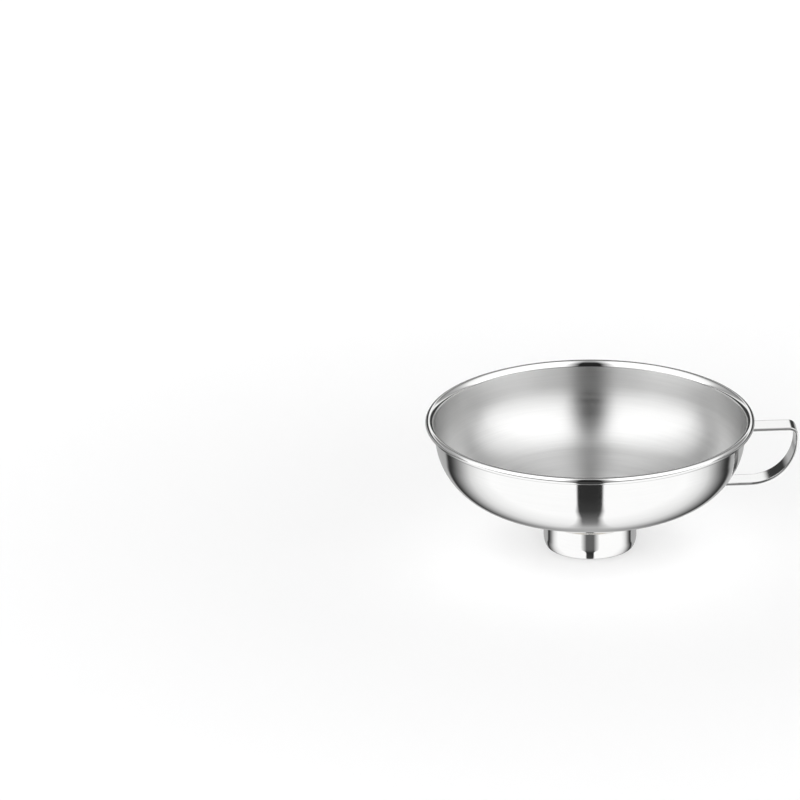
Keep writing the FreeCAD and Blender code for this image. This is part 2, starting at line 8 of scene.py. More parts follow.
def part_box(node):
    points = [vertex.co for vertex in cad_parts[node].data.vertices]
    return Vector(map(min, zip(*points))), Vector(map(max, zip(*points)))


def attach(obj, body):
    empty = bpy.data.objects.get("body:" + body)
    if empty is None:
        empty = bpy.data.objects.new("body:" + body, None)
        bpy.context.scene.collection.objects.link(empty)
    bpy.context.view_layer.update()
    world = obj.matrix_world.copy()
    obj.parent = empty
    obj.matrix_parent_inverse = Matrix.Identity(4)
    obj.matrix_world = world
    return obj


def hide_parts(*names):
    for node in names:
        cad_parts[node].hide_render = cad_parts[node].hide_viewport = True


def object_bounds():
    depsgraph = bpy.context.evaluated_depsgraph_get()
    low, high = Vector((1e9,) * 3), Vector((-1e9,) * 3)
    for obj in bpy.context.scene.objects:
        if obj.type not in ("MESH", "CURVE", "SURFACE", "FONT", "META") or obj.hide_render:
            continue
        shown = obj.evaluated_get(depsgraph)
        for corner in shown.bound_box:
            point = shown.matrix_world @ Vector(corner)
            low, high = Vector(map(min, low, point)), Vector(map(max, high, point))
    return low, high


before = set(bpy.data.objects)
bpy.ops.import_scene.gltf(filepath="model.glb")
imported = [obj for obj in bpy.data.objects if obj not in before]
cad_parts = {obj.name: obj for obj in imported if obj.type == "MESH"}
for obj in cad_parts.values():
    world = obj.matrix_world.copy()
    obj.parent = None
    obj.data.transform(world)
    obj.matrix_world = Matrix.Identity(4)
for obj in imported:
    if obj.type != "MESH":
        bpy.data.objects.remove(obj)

# A canning funnel in sheet stainless steel: a drawn bowl with a rolled rim, a spout collar welded
# under it and a strap handle spot-welded to its side. The funnel's axis is Z, the spout stands
# on the floor at height 0 and the handle points along +X.

bl_info = {
    "name": "Canning funnel",
    "version": (1, 0, 0),
    "blender": (4, 5, 0),
    "location": "3D View > Sidebar > Funnel",
    "description": "Builds a stainless steel canning funnel with its finishes and a plain studio",
    "category": "Object",
}

CAD_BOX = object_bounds()
BOWL_LOW, BOWL_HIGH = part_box("funnel_bowl")
_, COLLAR_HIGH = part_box("spout_collar")
WELD_LOW, WELD_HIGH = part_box("spout_weld")
STRAP_LOW, STRAP_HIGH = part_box("handle_strap")
BODY = "root"
MM = 0.001
FULL_TURN = 2 * math.pi
MERGE_DISTANCE = 0.001 * MM
RIPPLE_MERGE_DISTANCE = 0.005 * MM

# Cuts across the strap, and half the height of the flattened ball that presses a dimple.
STRAP_CUTS = 20
DIMPLE_BALL = 0.5 * MM

# Steps of one weld ripple, and how far its inner steps swell, as shares of the ripple's depth.
RIPPLE_STEPS = 4
RIPPLE_SWELL = ((1, 0.75), (2, 1.0), (3, 0.55))

# A foot's hollow: where the upper one has faded out and how high the lower one reaches, as shares
# of the bend beside the foot, and how far the upper one reaches below the loop's middle.
UPPER_FADE = 0.7
LOWER_REACH = 1.1
FOOT_MARGIN = 2 * MM

# The mirror polish starts this far below the flare.
POLISH_MARGIN = 0.5 * MM

# Grain of the finishes, in cells of noise per metre.
WAVES = 38.0
SATIN_CLOUDS = 38.0
POLISH_CLOUDS = 55.0
WELD_PATCHES = 240.0
WEAR = 420.0
WELD_GRAIN = 2600.0

# Lines of the finishes: how quickly they change along their run, and how quickly across it.
HAIRLINES = (2.0, 3800.0)
FINE_BRUSHING = (2.2, 5200.0)
BROAD_BRUSHING = (0.9, 420.0)
STRAP_LINES = (45.0, 5200.0)

# How far a bump stands up, and the quarter turn that spreads a highlight across the brushing.
WAVE_DEPTH = 0.4 * MM
LINE_DEPTH = 0.1 * MM
ACROSS_BRUSHING = 0.25

# The light tent is a sheet bent about the left-right line. Its greys go by the angle in the
# upright plane through the camera: 0 is straight up, 0.25 the horizon behind the funnel, 0.5
# straight down, 0.75 the horizon on the camera's side and 1 straight up again. A dark slot runs
# along the sheet's middle: outside it the greys are TENT_SIDES, and inside it TENT_SLOT. The slot's
# half width and the softness of its edge change with the same angle.
TENT_SIDES = (
    (0.0, 1.15), (0.07, 0.95), (0.11, 0.5), (0.15, 0.32), (0.172, 0.35), (0.18, 0.92), (0.193, 0.92),
    (0.198, 0.04), (0.243, 0.04), (0.255, 0.22), (0.27, 0.4), (0.295, 0.4), (0.305, 0.24),
    (0.312, 0.37), (0.343, 0.38), (0.350, 0.04), (0.357, 0.03), (0.365, 0.07), (0.375, 0.15),
    (0.386, 0.25), (0.405, 0.44), (0.433, 0.7), (0.47, 0.86), (0.5, 0.93), (0.53, 1.0),
    (0.693, 1.0), (0.70, 0.15), (0.76, 0.12), (0.772, 1.0), (0.83, 1.3), (0.92, 1.45),
)
TENT_SLOT = (
    (0.0, 0.42), (0.05, 0.25), (0.1, 0.1), (0.17, 0.1), (0.18, 0.92), (0.193, 0.92), (0.198, 0.04),
    (0.243, 0.04), (0.26, 0.14), (0.285, 0.22), (0.303, 0.24), (0.312, 0.36), (0.40, 0.36),
    (0.44, 0.42), (0.478, 0.21), (0.5, 0.155), (0.525, 0.11), (0.57, 0.045), (0.65, 0.026),
    (0.68, 0.09), (0.69, 0.13), (0.705, 0.05), (0.73, 0.02), (0.91, 0.015), (0.935, 0.12), (1.0, 0.42),
)
SLOT_HALF_WIDTH = (
    (0.0, 0.08), (0.05, 0.12), (0.1, 0.35), (0.17, 0.35), (0.2, 0.1), (0.3, 0.05), (0.34, 0.12),
    (0.4, 0.08), (0.43, 0.062), (0.478, 0.066), (0.525, 0.08), (0.57, 0.117), (0.65, 0.145),
    (0.68, 0.25), (0.69, 0.27), (0.715, 0.22), (0.85, 0.22), (0.93, 0.14), (1.0, 0.08),
)
SLOT_SOFTNESS = (
    (0.0, 0.06), (0.1, 0.25), (0.17, 0.25), (0.2, 0.06), (0.33, 0.1), (0.4, 0.06), (0.43, 0.035),
    (0.5, 0.022), (0.57, 0.02), (0.62, 0.01), (0.66, 0.012), (0.685, 0.12), (0.695, 0.12),
    (0.715, 0.08), (0.85, 0.1), (1.0, 0.06),
)
TENT_SKEW = 0.0083

# The tent's grey as the camera sees it behind the funnel, and as it lights the floor.
TENT_BACKDROP = 0.74
TENT_ON_FLOOR = 0.1

# The softboxes' rise above the horizon is in degrees, the sensor's width in millimetres and all
# else in metres.
SOFTBOXES = 12
SOFTBOX_RISE = 28.0
SOFTBOX_DISTANCE = 0.9
SOFTBOX_SIZE = 0.3
FLOOR_SIZE = 40.0
SENSOR_WIDTH = 36.0
FAR_CLIP = 100.0


def length(name, description, default, **limits):
    return FloatProperty(
        name=name, description=description, default=default, unit="LENGTH", subtype="DISTANCE",
        precision=5, min=0.0, **limits,
    )


def angle(name, description, default):
    return FloatProperty(
        name=name, description=description, default=math.radians(default), unit="ROTATION",
        subtype="ANGLE",
    )


def share(name, description, default, top=1.0):
    return FloatProperty(
        name=name, description=description, default=default, min=0.0, max=top, subtype="FACTOR",
    )


def colour(name, description, default):
    return FloatVectorProperty(
        name=name, description=description, default=default, size=3, subtype="COLOR",
        min=0.0, max=1.0,
    )


class FunnelBowlSizes(bpy.types.PropertyGroup):
    """Sizes of the drawn bowl and its rolled rim."""

    rim_radius: length("Rim radius", "Outside of the rolled rim", BOWL_HIGH.x)
    top: length("Top", "Height of the rolled rim's top", BOWL_HIGH.z)
    neck_foot: length("Neck foot", "Height of the neck's lower end", BOWL_LOW.z)
    neck_length: length("Neck length", "Upright part of the neck", 4.0 * MM)
    neck_bend: length("Neck bend", "Outside radius from neck to floor", 1.0 * MM)
    neck_clearance: length("Neck clearance", "Gap between neck and collar", 0.05 * MM)
    sheet: length("Sheet", "Thickness of the sheet", 0.6 * MM)
    floor_fall: angle("Floor fall", "Slope of the floor towards the spout", 20.0)
    corner: length("Corner radius", "Outside radius from floor to side", 29.0 * MM)
    side_lean: angle("Side lean", "Lean of the side from upright", 7.9)
    side: length("Side", "Straight part of the side", 8.0 * MM)
    flare: length("Flare radius", "Outward flare below the roll", 2.4 * MM)
    flare_turn: angle("Flare turn", "How far the flare turns", 52.0)
    bead: length("Rim bead", "Thickness of the rolled rim", 3.1 * MM)
    roll_turn: angle("Roll turn", "How far the roll goes round", 265.0)
    steps: IntProperty(name="Steps", description="Steps round the bowl", default=288, min=64)


class FunnelSpoutSizes(bpy.types.PropertyGroup):
    """Sizes of the spout collar and its weld."""

    radius: length("Radius", "Outside of the collar", COLLAR_HIGH.x)
    top: length("Top", "Height of the collar's top edge", COLLAR_HIGH.z)
    sheet: length("Sheet", "Thickness of the sheet", 0.8 * MM)
    curve: length("Curve radius", "Gentle narrowing towards the foot", 10.0 * MM)
    curve_height: length("Curve height", "Where the narrowing starts", 4.8 * MM)
    lip: length("Lip radius", "Outside radius of the turned-in foot", 1.2 * MM)
    ring: length("Ring width", "Flat ring that the funnel stands on", 0.9 * MM)
    weld_leg: length("Weld leg", "Leg of the weld", 0.9 * MM)
    weld_land: length("Weld land", "Flat left on the top edge beside the weld's bevel", 0.2 * MM)
    weld_crown: length("Weld crown", "How far the weld's face swells", 0.16 * MM)
    ripple: length("Ripple", "Depth between two ripples of the weld", 0.07 * MM)
    ripples: IntProperty(name="Ripples", description="Ripples round the weld", default=120, min=12)
    steps: IntProperty(name="Steps", description="Steps round the collar", default=240, min=48)


class FunnelHandleSizes(bpy.types.PropertyGroup):
    """Sizes of the bent strap handle."""

    width: length("Width", "Width of the strap", STRAP_HIGH.y - STRAP_LOW.y)
    thickness: length("Thickness", "Thickness of the strap", 1.2 * MM)
    top: length("Top", "Height of the top run's upper face", STRAP_HIGH.z)
    reach: length("Reach", "Distance of the outer face from the axis", STRAP_HIGH.x)
    corner: length("Corner", "Outside radius of the upper corner", 3.3 * MM)
    upright: length("Upright", "Straight part below that corner", 2.5 * MM)
    upper_bend: length("Upper bend", "Outside radius above the upper foot", 2.0 * MM)
    lower_bend: length("Lower bend", "Radius between lower run and foot", 1.5 * MM)
    upper_foot: length("Upper foot", "Length of the upper foot's straight part", 4.1 * MM)
    loop_drop: length("Loop drop", "From the top run's upper face to the lower run's underside",
                      25.674 * MM)
    lower_foot: angle("Lower foot", "How far the lower foot reaches round the bowl's corner", 12.2)
    hollow: length("Hollow", "Deepest hollow of a foot that fits the bowl", 0.3 * MM)
    edge: length("Edge", "Rounding of the strap's edges", 0.28 * MM)
    dimple: length("Dimple", "Diameter of a spot weld's dimple", 2.8 * MM)
    dimple_depth: length("Dimple depth", "Depth of a spot weld's dimple", 0.16 * MM)
    dimple_gap: length("Dimple gap", "Distance between two dimples of a foot", 5.0 * MM)
    upper_inset: length("Upper inset", "Height of the upper dimples above the foot's end", 2.1 * MM)
    lower_inset: length("Lower inset", "Distance of the lower dimples from the end", 3.0 * MM)


class FunnelFinish(bpy.types.PropertyGroup):
    """Colours and polish of the steel."""

    polished: colour("Polished steel", "Colour of the polished steel", (0.73, 0.73, 0.727))
    satin: colour("Satin steel", "Colour of the brushed inside", (0.66, 0.66, 0.657))
    weld: colour("Weld steel", "Colour of the dressed weld", (0.62, 0.61, 0.59))
    tint: colour("Heat tint", "Straw tint beside a weld", (0.60, 0.50, 0.36))
    gloss: share("Polish roughness", "Roughness of the polished steel", 0.055)
    satin_rough: share("Satin roughness", "Roughness of the brushed inside", 0.31)
    satin_grain: share("Satin grain", "How strongly the brushing spreads light", 0.88)


class FunnelStudio(bpy.types.PropertyGroup):
    """The plain floor, the light and the camera."""

    floor: colour("Floor", "Colour of the floor", (0.93, 0.93, 0.93))
    tent: share("Tent", "Brightness of the light tent", 1.36, 10.0)
    softbox: FloatProperty(name="Softbox", description="Power of each softbox", default=1.15,
                           min=0.0, unit="POWER")
    turn: angle("Turn", "Camera's direction, seen from above, from straight in front", -5.0)
    height: angle("Height", "Camera's height above the horizon", 21.8)
    lens: FloatProperty(name="Lens", description="Focal length", default=600.0, min=20.0,
                        unit="CAMERA")
    picture: length("Picture width", "Width of the picture at the funnel", 0.34064)
    right: share("Right", "How far right of the middle the axis stands", 0.2375)
    down: share("Down", "How far below the middle the axis' middle height stands", 0.1011)


class CanningFunnel(bpy.types.PropertyGroup):
    """All settings of the canning funnel."""

    bowl: PointerProperty(type=FunnelBowlSizes)
    spout: PointerProperty(type=FunnelSpoutSizes)
    handle: PointerProperty(type=FunnelHandleSizes)
    finish: PointerProperty(type=FunnelFinish)
    studio: PointerProperty(type=FunnelStudio)


def settings():
    return bpy.context.scene.canning_funnel


# Modelling steps


def put_down_all():
    if bpy.context.object and bpy.context.object.mode != "OBJECT":
        bpy.ops.object.mode_set(mode="OBJECT")
    bpy.ops.object.select_all(action="DESELECT")


def start_outline(name, radius, height):
    """Adds a mesh of one point on the XZ plane and leaves it selected in edit mode."""
    put_down_all()
    bpy.ops.mesh.primitive_plane_add(size=MM, location=(radius, 0, height))
    piece = bpy.context.object
    piece.name = piece.data.name = name
    bpy.ops.object.transform_apply(location=True, rotation=True, scale=True)
    bpy.ops.object.mode_set(mode="EDIT")
    bpy.ops.mesh.select_mode(type="VERT")
    bpy.ops.mesh.select_all(action="SELECT")
    bpy.ops.mesh.merge(type="CENTER")
    return piece


def go(way, cuts=1):
    """Draws a straight line on from the last point."""
    for _ in range(cuts):
        bpy.ops.mesh.extrude_vertices_move(
            TRANSFORM_OT_translate={"value": (way[0] / cuts, 0, way[1] / cuts)}
        )


def bend(centre, turn, steps):
    """Draws an arc on from the last point. Anticlockwise is positive, with +X right and +Z up."""
    bpy.ops.mesh.spin(steps=steps, angle=turn, center=(centre[0], 0, centre[1]), axis=(0, 1, 0))


def turn_about_axis(steps):
    """Turns the outline once round the funnel's axis and closes the seam."""
    bpy.ops.mesh.select_all(action="SELECT")
    bpy.ops.mesh.spin(steps=steps, angle=FULL_TURN, center=(0, 0, 0), axis=(0, 0, 1))
    bpy.ops.mesh.select_all(action="SELECT")
    bpy.ops.mesh.remove_doubles(threshold=MERGE_DISTANCE)
    bpy.ops.mesh.normals_make_consistent(inside=False)
    bpy.ops.object.mode_set(mode="OBJECT")


def turn_faces_over():
    bpy.ops.object.mode_set(mode="EDIT")
    bpy.ops.mesh.select_all(action="SELECT")
    bpy.ops.mesh.flip_normals()
    bpy.ops.object.mode_set(mode="OBJECT")


def apply_modifier(piece, kind, **values):
    """Adds a modifier with these values and applies it."""
    modifier = piece.modifiers.new(kind.title(), kind)
    for name, value in values.items():
        setattr(modifier, name, value)
    bpy.ops.object.modifier_apply(modifier=modifier.name)


def thicken(piece, sheet, inner_slot=0):
    apply_modifier(
        piece, "SOLIDIFY", thickness=sheet, offset=-1.0, use_even_offset=True,
        material_offset=inner_slot,
    )


def smooth(piece, limit):
    make_active(piece)
    bpy.ops.object.shade_smooth_by_angle(angle=math.radians(limit))


def select_faces(piece, test):
    """Selects the faces that pass the test and goes to edit mode."""
    bpy.ops.object.mode_set(mode="EDIT")
    bpy.ops.mesh.select_mode(type="FACE")
    bpy.ops.mesh.select_all(action="DESELECT")
    bpy.ops.object.mode_set(mode="OBJECT")
    for face in piece.data.polygons:
        face.select = test(face)
    bpy.ops.object.mode_set(mode="EDIT")


def select_points(piece, test):
    """Selects the points that pass the test and goes to edit mode."""
    bpy.ops.object.mode_set(mode="EDIT")
    bpy.ops.mesh.select_mode(type="VERT")
    bpy.ops.mesh.select_all(action="DESELECT")
    bpy.ops.object.mode_set(mode="OBJECT")
    for point in piece.data.vertices:
        point.select = test(point.co)
    bpy.ops.object.mode_set(mode="EDIT")


def make_active(piece):
    put_down_all()
    piece.select_set(True)
    bpy.context.view_layer.objects.active = piece


def give_slot(piece, slot_index, test):
    """Gives the faces that pass the test to the material slot."""
    select_faces(piece, test)
    piece.active_material_index = slot_index
    bpy.ops.object.material_slot_assign()
    bpy.ops.object.mode_set(mode="OBJECT")


def add_slots(piece, *materials):
    for material in materials:
        piece.data.materials.append(material)


def finish_piece(piece, node):
    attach(piece, BODY)
    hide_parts(node)


# Materials


class Nodes:
    """A tree of shader nodes, added one after another."""

    def __init__(self, tree):
        tree.nodes.clear()
        self.tree = tree

    def node(self, kind, **values):
        node = self.tree.nodes.new(kind)
        for name, value in values.items():
            setattr(node, name, value)
        return node

    def join(self, source, socket):
        if isinstance(source, (int, float)):
            socket.default_value = source
        else:
            self.tree.links.new(source, socket)

    def maths(self, operation, *values):
        node = self.node("ShaderNodeMath", operation=operation)
        for socket, value in zip(node.inputs, values):
            self.join(value, socket)
        return node.outputs[0]

    def vector(self, x, y, z):
        node = self.node("ShaderNodeCombineXYZ")
        for socket, value in zip(node.inputs, (x, y, z)):
            self.join(value, socket)
        return node.outputs[0]

    def spot(self):
        """The surface point in metres."""
        return self.node("ShaderNodeTexCoord").outputs["Object"]

    def parts(self, vector):
        """The x, y and z of a vector."""
        node = self.node("ShaderNodeSeparateXYZ")
        self.join(vector, node.inputs[0])
        return tuple(node.outputs)

    def noise(self, vector, scale, detail=3.0, rough=0.5):
        node = self.node("ShaderNodeTexNoise")
        node.inputs["Scale"].default_value = scale
        node.inputs["Detail"].default_value = detail
        node.inputs["Roughness"].default_value = rough
        self.join(vector, node.inputs["Vector"])
        return node.outputs["Fac"]

    def spread(self, value, low, high, start=0.3, end=0.7):
        """Maps a value from start..end to low..high, held at the ends."""
        node = self.node("ShaderNodeMapRange", clamp=True)
        limits = {"From Min": start, "From Max": end, "To Min": low, "To Max": high}
        for name, number in limits.items():
            node.inputs[name].default_value = number
        self.join(value, node.inputs["Value"])
        return node.outputs[0]

    def tone(self, base, factor):
        """A colour times a grey factor."""
        node = self.node("ShaderNodeMix", data_type="RGBA", blend_type="MULTIPLY")
        node.inputs["Factor"].default_value = 1.0
        grey = self.vector(factor, factor, factor)
        self.colour(base, node.inputs["A"])
        self.join(grey, node.inputs["B"])
        return node.outputs["Result"]

    def mix(self, factor, first, second):
        node = self.node("ShaderNodeMix", data_type="RGBA")
        self.join(factor, node.inputs["Factor"])
        self.colour(first, node.inputs["A"])
        self.colour(second, node.inputs["B"])
        return node.outputs["Result"]

    def colour(self, source, socket):
        if isinstance(source, bpy.types.NodeSocket):
            self.join(source, socket)
        else:
            socket.default_value = (*source, 1.0)

    def ramp(self, value, stops):
        """Maps a value to grey: stops holds (place, grey) pairs."""
        node = self.node("ShaderNodeValToRGB")
        elements = node.color_ramp.elements
        while len(elements) > 1:
            elements.remove(elements[-1])
        elements[0].position = stops[0][0]
        elements[0].color = (*grey(stops[0][1]), 1.0)
        for place, value_there in stops[1:]:
            elements.new(place).color = (*grey(value_there), 1.0)
        self.join(value, node.inputs[0])
        return node.outputs[0]

    def bump(self, height, strength, distance, onto=None):
        node = self.node("ShaderNodeBump")
        node.inputs["Strength"].default_value = strength
        node.inputs["Distance"].default_value = distance
        self.join(height, node.inputs["Height"])
        if onto:
            self.join(onto, node.inputs["Normal"])
        return node.outputs[0]


class Shader(Nodes):
    """A material and its nodes."""

    def __init__(self, name):
        self.material = bpy.data.materials.get(name) or bpy.data.materials.new(name)
        self.material.use_nodes = True
        super().__init__(self.material.node_tree)
        output = self.node("ShaderNodeOutputMaterial")
        self.surface = self.node("ShaderNodeBsdfPrincipled")
        self.surface.inputs["Metallic"].default_value = 1.0
        self.join(self.surface.outputs["BSDF"], output.inputs["Surface"])


def grey(value):
    return (value, value, value)


def round_place(shader, along, across):
    """Coordinates for lines that run round the axis: seamless, stretched along the turn."""
    x, y, z = shader.parts(shader.spot())
    square = shader.maths("ADD", shader.maths("MULTIPLY", x, x), shader.maths("MULTIPLY", y, y))
    radius = shader.maths("POWER", square, 0.5)
    cosine = shader.maths("MULTIPLY", shader.maths("DIVIDE", x, radius), along)
    sine = shader.maths("MULTIPLY", shader.maths("DIVIDE", y, radius), along)
    rise = shader.maths("MULTIPLY", shader.maths("ADD", radius, z), across)
    return shader.vector(cosine, sine, rise)


def round_tangent(shader):
    """The direction round the axis at each point."""
    x, y, _ = shader.parts(shader.spot())
    node = shader.node("ShaderNodeVectorMath", operation="NORMALIZE")
    shader.join(shader.vector(shader.maths("MULTIPLY", y, -1.0), x, 0.0), node.inputs[0])
    return node.outputs[0]


def polished_steel(name, lines):
    """Mirror polish over very fine lines: lines(shader) gives their coordinates."""
    finish = settings().finish
    shader = Shader(name)
    hairlines = shader.noise(lines(shader), 1.0, 2.0)
    spot = shader.spot()
    cloud = shader.noise(spot, POLISH_CLOUDS, 4.0)
    wear = shader.noise(spot, WEAR, 6.0, 0.65)
    line_shade = shader.spread(hairlines, 0.975, 1.0)
    shade = shader.maths("MULTIPLY", line_shade, shader.spread(cloud, 0.98, 1.0))
    shader.join(shader.tone(tuple(finish.polished), shade), shader.surface.inputs["Base Color"])
    cloud_rough = shader.spread(cloud, finish.gloss * 0.75, finish.gloss * 1.25)
    wear_rough = shader.spread(wear, 0.0, 0.02, 0.5, 0.75)
    rough = shader.maths("ADD", cloud_rough, wear_rough)
    shader.join(rough, shader.surface.inputs["Roughness"])
    waves = shader.bump(shader.noise(spot, WAVES, 1.0), 0.05, WAVE_DEPTH)
    shader.join(shader.bump(hairlines, 0.012, LINE_DEPTH, waves), shader.surface.inputs["Normal"])
    return shader.material


def satin_steel(name):
    """Fine brushing that runs round the axis."""
    finish = settings().finish
    shader = Shader(name)
    fine = shader.noise(round_place(shader, *FINE_BRUSHING), 1.0, 3.0, 0.6)
    broad = shader.noise(round_place(shader, *BROAD_BRUSHING), 1.0, 3.0, 0.55)
    cloud = shader.noise(shader.spot(), SATIN_CLOUDS, 4.0)
    fine_shade = shader.spread(fine, 0.93, 1.0)
    shade = shader.maths("MULTIPLY", fine_shade, shader.spread(broad, 0.94, 1.0))
    shade = shader.maths("MULTIPLY", shade, shader.spread(cloud, 0.97, 1.0))
    shader.join(shader.tone(tuple(finish.satin), shade), shader.surface.inputs["Base Color"])
    base = finish.satin_rough
    broad_rough = shader.spread(broad, base * 0.94, base * 1.06)
    rough = shader.maths("ADD", broad_rough, shader.spread(fine, -0.02, 0.02))
    shader.join(rough, shader.surface.inputs["Roughness"])
    shader.surface.inputs["Anisotropic"].default_value = finish.satin_grain
    shader.surface.inputs["Anisotropic Rotation"].default_value = ACROSS_BRUSHING
    shader.join(round_tangent(shader), shader.surface.inputs["Tangent"])
    shader.join(shader.bump(fine, 0.05, LINE_DEPTH), shader.surface.inputs["Normal"])
    return shader.material


def weld_steel(name):
    """Satin weld metal with fine grain and patches of straw tint."""
    finish = settings().finish
    shader = Shader(name)
    spot = shader.spot()
    grain = shader.noise(spot, WELD_GRAIN, 5.0, 0.6)
    patch = shader.noise(spot, WELD_PATCHES, 4.0)
    straw = shader.spread(patch, 0.0, 0.45, 0.45, 0.75)
    tinted = shader.mix(straw, tuple(finish.weld), tuple(finish.tint))
    shade = shader.spread(grain, 0.86, 1.0)
    shader.join(shader.tone(tinted, shade), shader.surface.inputs["Base Color"])
    shader.join(shader.spread(patch, 0.26, 0.42), shader.surface.inputs["Roughness"])
    shader.join(shader.bump(grain, 0.12, LINE_DEPTH), shader.surface.inputs["Normal"])
    return shader.material


def lines_round(shader):
    return round_place(shader, *HAIRLINES)


def lines_along_strap(shader):
    x, y, z = shader.parts(shader.spot())
    along, across = STRAP_LINES
    return shader.vector(shader.maths("MULTIPLY", x, along), shader.maths("MULTIPLY", y, across),
                         shader.maths("MULTIPLY", z, along))


# Pieces


def unit(turn):
    """A direction in a plane, anticlockwise from its first axis."""
    return Vector((math.cos(turn), math.sin(turn)))


def bowl_places():
    """Where the outline's runs and arcs meet, as (distance from the axis, height)."""
    bowl, spout = settings().bowl, settings().spout
    fall, lean = bowl.floor_fall, bowl.side_lean
    neck = spout.radius - spout.sheet - bowl.neck_clearance
    neck_centre = Vector((neck + bowl.neck_bend, bowl.neck_foot + bowl.neck_length))
    side, out = unit(math.pi / 2 - lean), unit(-lean)
    bead_centre = Vector((bowl.rim_radius - bowl.bead / 2, bowl.top - bowl.bead / 2))
    inside_roll = bowl.bead / 2 - bowl.sheet
    flare_centre = bead_centre - unit(math.pi - lean - bowl.flare_turn) * (bowl.flare - inside_roll)
    side_top = flare_centre - out * bowl.flare
    side_foot = side_top - side * bowl.side
    corner_centre = side_foot - out * bowl.corner
    return {
        "neck": neck,
        "neck_centre": neck_centre,
        "floor_start": neck_centre + unit(math.pi / 2 + fall) * bowl.neck_bend,
        "floor_end": corner_centre + unit(fall - math.pi / 2) * bowl.corner,
        "corner_centre": corner_centre,
        "side": side,
        "out": out,
        "side_foot": side_foot,
        "side_top": side_top,
        "flare_centre": flare_centre,
        "bead_centre": bead_centre,
    }


class FUNNEL_OT_bowl(bpy.types.Operator):
    """Draws the bowl's outline, turns it round the axis and thickens it inwards"""

    bl_idname = "funnel.bowl"
    bl_label = "Bowl"

    def execute(self, context):
        bowl, at = settings().bowl, bowl_places()
        piece = start_outline("bowl_pressing", at["neck"], bowl.neck_foot)
        go((0, bowl.neck_length), 3)
        bend(at["neck_centre"], bowl.floor_fall - math.pi / 2, 8)
        go(at["floor_end"] - at["floor_start"], 10)
        bend(at["corner_centre"], math.pi / 2 - bowl.floor_fall - bowl.side_lean, 44)
        go(at["side_top"] - at["side_foot"], 5)
        bend(at["flare_centre"], -bowl.flare_turn, 12)
        bend(at["bead_centre"], -bowl.roll_turn, 44)
        turn_about_axis(bowl.steps)
        lowest = min(piece.data.polygons, key=lambda face: face.center.z)
        if lowest.normal.xy.dot(lowest.center.xy) < 0:
            turn_faces_over()
        add_slots(piece, polished_steel("steel_polished_round", lines_round),
                  satin_steel("steel_satin_round"))
        thicken(piece, bowl.sheet, 1)
        polish_from = at["side_top"].y - POLISH_MARGIN
        give_slot(piece, 0, lambda face: face.center.z > polish_from)
        smooth(piece, 35)
        finish_piece(piece, "funnel_bowl")
        return {"FINISHED"}


class FUNNEL_OT_collar(bpy.types.Operator):
    """Draws the spout collar's outline, turns it round the axis and thickens it inwards"""

    bl_idname = "funnel.collar"
    bl_label = "Spout collar"

    def execute(self, context):
        spout = settings().spout
        curve_centre = Vector((spout.radius - spout.curve, spout.curve_height))
        fall = math.asin((spout.curve_height - spout.lip) / (spout.curve - spout.lip))
        lip_centre = curve_centre + unit(-fall) * (spout.curve - spout.lip)
        piece = start_outline("spout_tube", lip_centre.x - spout.ring, 0)
        go((spout.ring, 0), 2)
        bend(lip_centre, math.pi / 2 - fall, 12)
        bend(curve_centre, fall, 10)
        go((0, spout.top - spout.curve_height), 6)
        turn_about_axis(spout.steps)
        lowest = min(piece.data.polygons, key=lambda face: face.center.z)
        if lowest.normal.z > 0:
            turn_faces_over()
        add_slots(piece, polished_steel("steel_polished_round", lines_round),
                  satin_steel("steel_satin_round"))
        thicken(piece, spout.sheet, 1)
        smooth(piece, 35)
        finish_piece(piece, "spout_collar")
        return {"FINISHED"}


